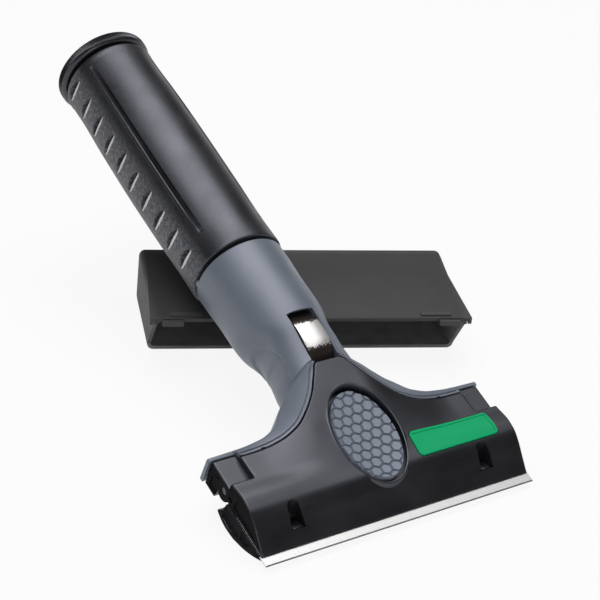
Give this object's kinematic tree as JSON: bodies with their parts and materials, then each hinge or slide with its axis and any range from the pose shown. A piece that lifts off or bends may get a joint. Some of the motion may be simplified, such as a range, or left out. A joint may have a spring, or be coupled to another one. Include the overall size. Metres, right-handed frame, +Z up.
{
  "type": "hand scraper",
  "caption": "Hand scraper with a wide straight blade clamped in a hinged head, a cell-patterned thumb pad, a scooped round grip with a pole socket, and a separate push-on blade guard.",
  "frame": {"origin": "middle of the bounding box's base, on the surface that the scraper and its guard lie on", "axes": "+X along the blade's edge, +Y from the blade back along the handle, +Z up; the scraper is pitched nose down about X"},
  "size_m": [0.142, 0.2014, 0.0855],
  "materials": {
    "blue_grey_plastic": "satin",
    "black_plastic": "satin",
    "black_soft_grip": "satin with a pebbled side",
    "blue_grey_rubber": "matte",
    "plain_green": "plain, embossed edge",
    "blade_steel": "fine brushed",
    "spring_steel": "bright, scratched",
    "guard_plastic": "matte"
  },
  "bodies": {
    "scraper_body": {"handle_frame": "blue_grey_plastic", "socket_tube": "black_plastic", "grip_sleeve": "black_soft_grip", "top_cover": "black_plastic", "thumb_pad": "blue_grey_rubber", "label_plate": "plain_green", "leaf_rivet": "blade_steel", "cover_screw_1": "blade_steel", "cover_screw_2": "blade_steel", "cover_screw_3": "blade_steel", "cover_screw_4": "blade_steel", "jaw_hinge_pin": "blade_steel"},
    "clamp_jaw": {"lower_jaw": "black_plastic", "blade": "blade_steel"},
    "lock_leaf_body": {"lock_leaf": "spring_steel"},
    "end_collar_body": {"end_collar": "black_plastic"},
    "guard_body": {"blade_guard": "guard_plastic"}
  },
  "joints": [
    {"name": "jaw_hinge", "type": "hinge", "parent": "scraper_body", "child": "clamp_jaw", "pos_m": [-0.0205, -0.07489, 0.01256], "axis": [1, 0, 0], "range_deg": [0, 40]},
    {"name": "leaf_press", "type": "hinge", "parent": "scraper_body", "child": "lock_leaf_body", "pos_m": [-0.0205, -0.05507, 0.02836], "axis": [-1, 0, 0], "range_deg": [0, 4], "stiffness_Nm_per_rad": 0.5, "springref_deg": -0.57},
    {"name": "collar_turn", "type": "hinge", "parent": "scraper_body", "child": "end_collar_body", "pos_m": [-0.0205, 0.09166, 0.0682], "axis": [0, 0.9485, 0.3168], "range_deg": [0, 90]},
    {"name": "guard_draw", "type": "slide", "parent": "scraper_body", "child": "guard_body", "axis": [0.4099, 0.9121, 0], "range_m": [0, 0.1]}
  ]
}
